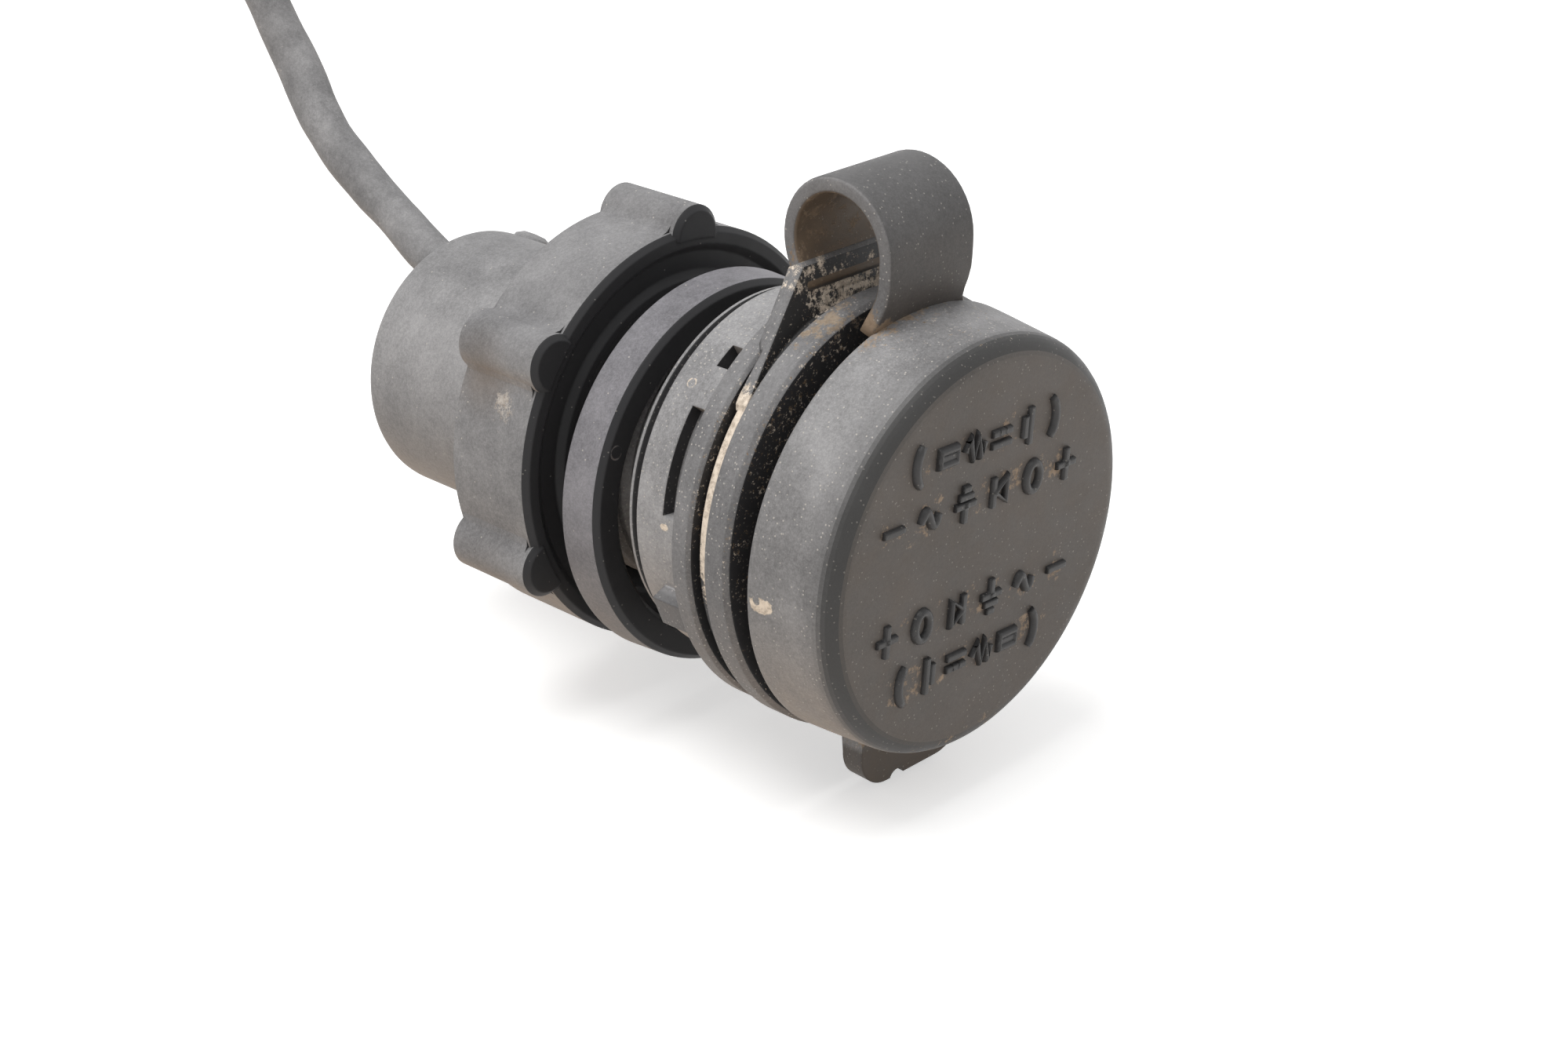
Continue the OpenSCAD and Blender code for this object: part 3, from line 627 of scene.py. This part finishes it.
def spot(g, place, centre, radius, soft=0.6, squeeze=(1, 1, 1)):
    """Mask round a point given in millimetres: 1 at the point, 0 past the radius."""
    away = g.vector("SUBTRACT", place, tuple(c * MM for c in centre))
    away = g.vector("MULTIPLY", away, tuple(1 / (s * MM) for s in squeeze))
    return g.step(g.vector("LENGTH", away), radius * (1 - soft), radius, 1.0, 0.0)


def facing(g, normal, direction, low, high, to_low=0.0, to_high=1.0):
    return g.step(g.vector("DOT_PRODUCT", normal, direction), low, high, to_low, to_high)


def times(g, *factors):
    out = factors[0]
    for f in factors[1:]:
        out = g.math("MULTIPLY", out, f)
    return out


def from_axis(g, place):
    """Distance from the socket's axis, in metres."""
    return g.vector("LENGTH", g.vector("MULTIPLY", place, (1, 0, 1)))


def outward(g, place, normal):
    """Film on what faces outwards and up; none in bores and little on what faces the cap's end of the axis,
    which paints the shade in the bores and in the gaps between the parts.
    """
    # Painted shade: little film on faces towards the gaps between the parts
    front = g.step(facing(g, normal, FRONT, 0.74, 0.97), 0.0, 1.0, 1.0, 0.03)
    rise = g.step(g.parts(normal)[2], -1.0, 1.0, 0.95, 1.1)
    radial = g.vector("NORMALIZE", g.vector("MULTIPLY", place, (1, 0, 1)))
    # Painted shade: no film on faces turned into the bores
    away = facing(g, normal, radial, -0.4, 0.15)
    return times(g, front, rise, away)


def blunt(g, place, normal):
    """Film as above, and less of it on the rounded front edges too, which carries the painted shade of the
    gaps onto them.
    """
    return times(g, outward(g, place, normal), facing(g, normal, REAR, -0.75, -0.2))


def front_grit(g, place, normal):
    """Grains on what faces the cap: more of them higher up, fewer at the very top, none on the neck."""
    y, z = g.parts(place)[1:]
    high = g.step(z, -14 * MM, 10 * MM, 0.1, 0.5)
    before_seat = g.step(y, -0.6 * MM, -0.2 * MM, 1.0, 0.0)
    thin_at_top = g.step(z, 16.5 * MM, 19 * MM, 1.0, 0.4)
    return times(g, facing(g, normal, FRONT, 0.2, 0.8), high, before_seat, thin_at_top)


def cap_grit(g, place, normal):
    """Grains on the rear rim of the skirt, on its lower part and on its top."""
    y, z = g.parts(place)[1:]
    rear_rim = g.step(y, -10.2 * MM, -8.4 * MM, 0.0, 0.14)
    low = g.step(z, -11 * MM, -18 * MM, 0.0, 0.3)
    top = g.step(z, 15.5 * MM, 18.5 * MM, 0.0, 0.35)
    return times(g, most(g, [rear_rim, low, top]), facing(g, normal, FRONT, 0.6, 0.9, 1.0, 0.0))


def cap_film(g, place, normal):
    """The cap's skirt is dusty, its rounded edge rubbed clean and its face thinly dusted."""
    y, z = g.parts(place)[1:]
    skirt = facing(g, normal, FRONT, 0.02, 0.62, 1.0, 0.08)
    skirt = times(g, skirt, g.step(y, -15.9 * MM, -13.6 * MM, 0.72, 1.0))
    face = facing(g, normal, FRONT, 0.93, 0.995, 0.0, 0.21)
    rise = g.step(g.parts(normal)[2], 0.3, 1.0, 1.08, 1.32)
    above_tab = g.step(z, (TAB_TOP - 0.7) * MM, TAB_TOP * MM, 0.25, 1.0)
    return times(g, g.math("ADD", skirt, face), rise, above_tab)


def cap_brown(g, place, normal):
    """A thin brown tone on the face and on the pull tab, partly dust and partly painted warm bounce light."""
    front = facing(g, normal, FRONT, 0.9, 0.995, 0.0, 0.16)
    return g.math("ADD", front, g.step(g.parts(place)[2], (TAB_TOP - 0.7) * MM, TAB_TOP * MM, 0.22, 0.0))


def round_signs(g, place, normal):
    """Earth in the corners between the face and the rows of signs."""
    x, y, z = g.parts(place)
    front = facing(g, normal, FRONT, 0.8, 0.97)
    lumps = g.step(g.noise(place, 420, 3, 0.6), 0.42, 0.68)
    from_middle = g.math("ABSOLUTE", g.math("SUBTRACT", x, MID_X * MM))
    masks = []
    for row, reach in SIGN_ROWS:
        from_row = g.math("ABSOLUTE", g.math("SUBTRACT", z, row * MM))
        band = g.step(from_row, 1.0 * MM, 2.3 * MM, 1.0, 0.0)
        along = g.step(from_middle, (reach - 1.5) * MM, (reach + 0.8) * MM, 1.0, 0.0)
        masks.append(times(g, band, along, lumps, front, 0.5))
    return most(g, masks)


def cap_placed(g, place, normal):
    """Earth round the signs, at the strap's foot, along the lower rim and in a blob on the skirt."""
    blob = times(g, spot(g, place, BLOB, 1.3, 0.7, (1, 1.2, 0.75)), 1.9)
    dent = times(g, spot(g, place, BLOB_DENT, 0.6, 0.5, (1, 0.8, 0.9)), 1.7)
    foot = times(g, spot(g, place, STRAP_FOOT, 9, 0.9, (1.2, 0.35, 0.5)), 0.66)
    z = g.parts(place)[2]
    low = times(g, g.step(z, -15 * MM, -18.6 * MM), g.step(z, -19.3 * MM, -18.9 * MM), 0.36)
    return most(g, [g.math("SUBTRACT", blob, dent, clamp=True), foot, low, round_signs(g, place, normal)])


def cap_pale(g, place, normal):
    """The blob on the skirt is of a lighter earth than the rest."""
    return spot(g, place, BLOB, 2.0, 0.2)


def ring_placed(g, place, normal):
    """Earth packed along the front of the retaining ring on the left, wide at the top and narrow below."""
    x, y, z = g.parts(place)
    turn = g.math("ARCTAN2", z, g.math("MULTIPLY", x, -1.0))
    below_top = g.step(turn, math.radians(53), math.radians(41))
    width = g.step(turn, math.radians(-40), math.radians(40), 0.12 * MM, 2.2 * MM)
    past = g.math("SUBTRACT", g.math("ADD", y, 3.9 * MM), width)
    packed = times(g, below_top, g.step(past, -0.75 * MM, 0.6 * MM, 1.0, 0.0))
    flare = times(g, spot(g, place, FLARE_TOP, 4, 0.8), 0.45)
    top = times(g, spot(g, place, RING_TOP, 7, 0.7, (1.3, 0.4, 0.6)), 0.6)
    return most(g, [packed, flare, top])


def ring_film_and_groove_shade(g, place, normal):
    """The ring itself lies in the groove with little film, which paints the groove's shade; the flare above
    it is dusty on its edges.
    """
    # Painted shade: the ring inside the groove is left nearly bare
    return times(g, g.step(from_axis(g, place), 18.25 * MM, 18.7 * MM, 0.12, 1.0), outward(g, place, normal))


def loop_side(g, place, normal, low, high):
    """How far a place on the strap's loop faces the loop's own axis."""
    inwards = g.vector("MULTIPLY", g.vector("SUBTRACT", (0, LOOP_Y * MM, LOOP_Z * MM), place), (0, 1, 1))
    return facing(g, normal, g.vector("NORMALIZE", inwards), low, high)


def strap_placed(g, place, normal):
    """Earth inside the loop and at both roots."""
    inside = times(g, loop_side(g, place, normal, 0.3, 0.7), 0.3)
    foot = times(g, spot(g, place, STRAP_FOOT_CORNER, 2.4, 0.7), 0.9)
    root = times(g, spot(g, place, STRAP_ROOT_CORNER, 2.6, 0.7), 0.6)
    return most(g, [inside, foot, root])


def strap_brown(g, place, normal):
    """The inside of the loop has an even brown tone, partly dust and partly painted warm bounce light."""
    return times(g, loop_side(g, place, normal, 0.3, 0.7), 0.75)


def strap_film(g, place, normal):
    """Less film on the outer surface, more on the strap's side edges and none inside the loop."""
    edge = g.step(g.math("ABSOLUTE", g.parts(normal)[0]), 0.5, 0.9, 1.0, 2.2)
    rise = g.step(g.parts(normal)[2], -0.6, 0.9, 0.85, 1.2)
    return times(g, edge, rise, loop_side(g, place, normal, 0.7, 0.2))


def housing_film(g, place, normal):
    """Rims of the two flanges darker than the neck behind them, and the key under the neck darker still."""
    apart = from_axis(g, place)
    by_part = g.step(apart, 17.2 * MM, 17.7 * MM, 1.2, 0.7)
    key = times(g, g.step(apart, 16.7 * MM, 16.9 * MM), g.step(g.parts(place)[1], 0.0, 0.2 * MM))
    return times(g, by_part, g.step(key, 0.0, 1.0, 1.0, 0.55), outward(g, place, normal))


def pin_mark(g, place, centre, radius):
    """The thin ring that a mould's pin leaves."""
    apart = g.vector("LENGTH", g.vector("SUBTRACT", place, tuple(c * MM for c in centre)))
    off = g.math("ABSOLUTE", g.math("SUBTRACT", apart, radius * MM))
    return g.step(off, 0.03 * MM, 0.13 * MM, 0.62, 0.0)


def housing_pale(g, place, normal):
    """The speck and the pin's mark on the neck are lighter than the dust on the flange."""
    return g.step(g.parts(place)[1], -0.5 * MM, 0.0)


def spacer_placed(g, place, normal):
    return pin_mark(g, place, SPACER_PIN_MARK, 0.6)


def flange_placed(g, place, normal):
    """Light dust on the front flange's top, a white speck and a pin's mark on the neck."""
    top = times(g, spot(g, place, FLANGE_TOP, 7, 0.9, (1, 0.5, 0.5)), 0.55)
    speck = spot(g, place, NECK_SPECK, 0.5, 0.5, (1, 1.2, 0.8))
    return most(g, [top, speck, pin_mark(g, place, NECK_PIN_MARK, 0.42)])


def nut_film_and_painted_light(g, place, normal):
    """More film low on the nut and less on its top, which paints bounce light on its lower side and shade on
    its top.
    """
    # Painted light: more film below stands in for bounce light, less on top for shade
    return times(g, blunt(g, place, normal), g.step(g.parts(normal)[2], -0.6, 0.9, 1.3, 0.88))


def nut_placed(g, place, normal):
    blob = times(g, spot(g, place, NUT_BLOB, 2.6, 0.95), 0.5)
    return most(g, [blob, times(g, spot(g, place, NUT_LOBE_FOOT, 1.6, 0.8), 0.5)])


def nut_brown(g, place, normal):
    """A brown tone on the nut's left side, under its lobes, partly dust and partly painted warm bounce light.
    """
    upper = times(g, spot(g, place, NUT_BROWN_HIGH, 5, 0.95), 0.4)
    return most(g, [upper, times(g, spot(g, place, NUT_BROWN_LOW, 8, 0.95), 0.3)])


def lead_film(g, place, normal):
    return g.step(g.noise(place, 160, 3, 0.6), 0.3, 0.7, 0.75, 1.1)


BLACK = (0.028, 0.028, 0.030)
cap_rubber = dusty("cap_rubber", (0.030, 0.0295, 0.029), film=0.6, specks=0.12, rough=0.48,
                   film_by=cap_film, placed=cap_placed, brown_by=cap_brown, grit_by=cap_grit,
                   pale_by=cap_pale)
sign_rubber = dusty("sign_rubber", (0.022, 0.022, 0.023), film=0.05, specks=0.05, rough=0.30, bump=0.2)
strap_rubber = dusty("strap_rubber", (0.032, 0.031, 0.031), film=0.18, specks=0.14, gloss=0.3,
                     film_by=strap_film, placed=strap_placed, brown_by=strap_brown, earth=(0.25, 0.185, 0.13))
ring_rubber = dusty("ring_rubber", (0.026, 0.026, 0.027), film=0.4, specks=0.26,
                    film_by=ring_film_and_groove_shade, placed=ring_placed, grit_by=front_grit, earth=(0.86, 0.75, 0.63))
housing_plastic = dusty("housing_plastic", BLACK, film=0.62, specks=0.26,
                        film_by=housing_film, placed=flange_placed, grit_by=front_grit,
                        earth=(0.33, 0.265, 0.20), pale_by=housing_pale)
# The spacer's dust tone is cooler still: dust with a painted tint of cool sky light
spacer_plastic = dusty("spacer_plastic", BLACK, film=0.5, specks=0.02, rough=0.42, gloss=0.2,
                       film_by=blunt, placed=spacer_placed, dust=(0.40, 0.39, 0.42),
                       earth=(0.13, 0.13, 0.135))
nut_plastic = dusty("nut_plastic", BLACK, film=0.55, specks=0.02, gloss=0.2,
                    film_by=nut_film_and_painted_light, placed=nut_placed, brown_by=nut_brown, earth=(0.5, 0.46, 0.42))
boot_rubber = dusty("boot_rubber", (0.032, 0.032, 0.033), film=0.66, specks=0.01, rough=0.55)
grommet_rubber = dusty("grommet_rubber", (0.025, 0.025, 0.026), film=0.25, specks=0.02)
lead_sleeve = dusty("lead_sleeve", (0.034, 0.034, 0.035), film=0.66, specks=0.01, bump=0.3, film_by=lead_film)


CLEAN_GRAIN = 0.03


def plain(name, colour, rough, metallic=0.0, spread=0.2, scale=500, bump=0.15):
    """A clean material with a little variation of colour, roughness and surface."""
    m = bpy.data.materials.new(name)
    m.use_nodes = True
    g = Graph(m.node_tree)
    shader = m.node_tree.nodes["Principled BSDF"]
    place = g.add("ShaderNodeTexCoord").outputs["Object"]
    n = g.noise(place, scale, 4, 0.6)
    darker = tuple(c * (1 - spread) for c in colour)
    lighter = tuple(min(1.0, c * (1 + spread * 0.5)) for c in colour)
    g.put(shader.inputs["Base Color"], g.mix(g.step(n, 0.3, 0.7), darker, lighter))
    g.put(shader.inputs["Roughness"], g.step(n, 0.25, 0.75, rough - 0.08, rough + 0.1))
    shader.inputs["Metallic"].default_value = metallic
    relief = g.add("ShaderNodeBump")
    relief.inputs["Strength"].default_value = bump
    relief.inputs["Distance"].default_value = CLEAN_GRAIN * MM
    g.put(relief.inputs["Height"], g.noise(place, scale * 5, 3, 0.6))
    g.put(shader.inputs["Normal"], relief.outputs["Normal"])
    return m


steel = plain("sleeve_steel", (0.62, 0.61, 0.58), 0.32, 1.0)
brass = plain("contact_brass", (0.72, 0.56, 0.28), 0.34, 1.0)
tin = plain("receptacle_tin", (0.66, 0.65, 0.62), 0.38, 1.0)
insulator = plain("insulator_cream", (0.74, 0.68, 0.56), 0.55)
board = plain("fibre_board", (0.36, 0.20, 0.10), 0.7, spread=0.35, scale=900)
red = plain("wire_red", (0.42, 0.05, 0.04), 0.45)
black = plain("wire_black", (0.03, 0.03, 0.032), 0.45)
white_plastic = plain("connector_white", (0.78, 0.75, 0.67), 0.42, spread=0.1)


def finish_of(obj, material):
    obj.data.materials.clear()
    obj.data.materials.append(material)


finish = {
    "socket_housing": housing_plastic, "contact_sleeve": steel, "insulator_cup": insulator,
    "insulator_disc": board, "contact_spring": steel, "centre_contact": brass, "centre_rivet": brass,
    "positive_terminal": brass, "negative_terminal": brass, "positive_receptacle": tin,
    "negative_receptacle": tin, "positive_wire": red, "negative_wire": black, "rear_boot": boot_rubber,
    "lead_grommet": grommet_rubber, "cap": cap_rubber, "retaining_ring": ring_rubber,
    "spacer_ring": spacer_plastic, "ring_nut": nut_plastic, "positive_tail": red, "negative_tail": black,
    "connector_housing": white_plastic, "connector_pin_left": brass, "connector_pin_right": brass,
}
for name, material in finish.items():
    finish_of(nodes[name], material)
finish_of(cap_piece, cap_rubber)
finish_of(press_spring, steel)
finish_of(lead, lead_sleeve)
finish_of(strap, strap_rubber)
finish_of(signs_piece, sign_rubber)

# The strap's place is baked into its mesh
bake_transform(strap)

# Floor, world and lights
FLOOR_Z = -24.14 * MM
FLOOR_R = 3.0
FLOOR_SEEN = ((0.80, 0.80, 0.80), (0.82, 0.82, 0.82))
FLOOR_UNSEEN = (0.68, 0.62, 0.56)
FLOOR_GLOW = 0.5
WORLD_LIGHT = 0.6
WORLD_SEEN = 1.0


def backdrop_rays(g):
    """Rays that show the white backdrop: those of the camera, and mirrored and passed ones."""
    rays = g.add("ShaderNodeLightPath").outputs
    return most(g, [rays["Is Camera Ray"], rays["Is Glossy Ray"], rays["Is Transmission Ray"]])


def floor_white():
    """Matt white to the backdrop's rays, and a warmer ground to the light that it throws back."""
    m = bpy.data.materials.new("floor_white")
    m.use_nodes = True
    shader = m.node_tree.nodes["Principled BSDF"]
    g = Graph(m.node_tree)
    seen = backdrop_rays(g)
    pale = g.mix(g.noise(g.add("ShaderNodeTexCoord").outputs["Object"], 40, 2), *FLOOR_SEEN)
    g.put(shader.inputs["Base Color"], g.mix(seen, FLOOR_UNSEEN, pale))
    shader.inputs["Roughness"].default_value = 0.95
    shader.inputs["Emission Color"].default_value = (1, 1, 1, 1)
    g.put(shader.inputs["Emission Strength"], g.math("MULTIPLY", seen, FLOOR_GLOW))
    return m


bm = bmesh.new()
bmesh.ops.create_circle(bm, cap_ends=True, segments=96, radius=FLOOR_R)
mesh = bpy.data.meshes.new("floor")
bm.to_mesh(mesh)
bm.free()
floor = bpy.data.objects.new("floor", mesh)
floor.location = (0, 0, FLOOR_Z)
scene.collection.objects.link(floor)
finish_of(floor, floor_white())

world = bpy.data.worlds.new("studio")
scene.world = world
world.use_nodes = True
g = Graph(world.node_tree)
background = world.node_tree.nodes["Background"]
background.inputs["Color"].default_value = (1, 1, 1, 1)
g.put(background.inputs["Strength"], g.step(backdrop_rays(g), 0.0, 1.0, WORLD_LIGHT, WORLD_SEEN))


def area(name, at, towards, size, watts, colour):
    data = bpy.data.lights.new(name, "AREA")
    data.shape = "DISK"
    data.size = size
    data.energy = watts
    data.color = colour
    obj = bpy.data.objects.new(name, data)
    at, towards = Vector(at), Vector(towards)
    turned = (at - towards).to_track_quat("Z", "Y").to_matrix().to_4x4()
    obj.matrix_world = Matrix.Translation(at) @ turned
    scene.collection.objects.link(obj)


area("key", (-0.28, 0.12, 0.9), (0, 0.01, 0), size=0.7, watts=6.5, colour=(1.0, 0.99, 0.97))

scene.view_settings.view_transform = "Standard"
scene.view_settings.look = "None"
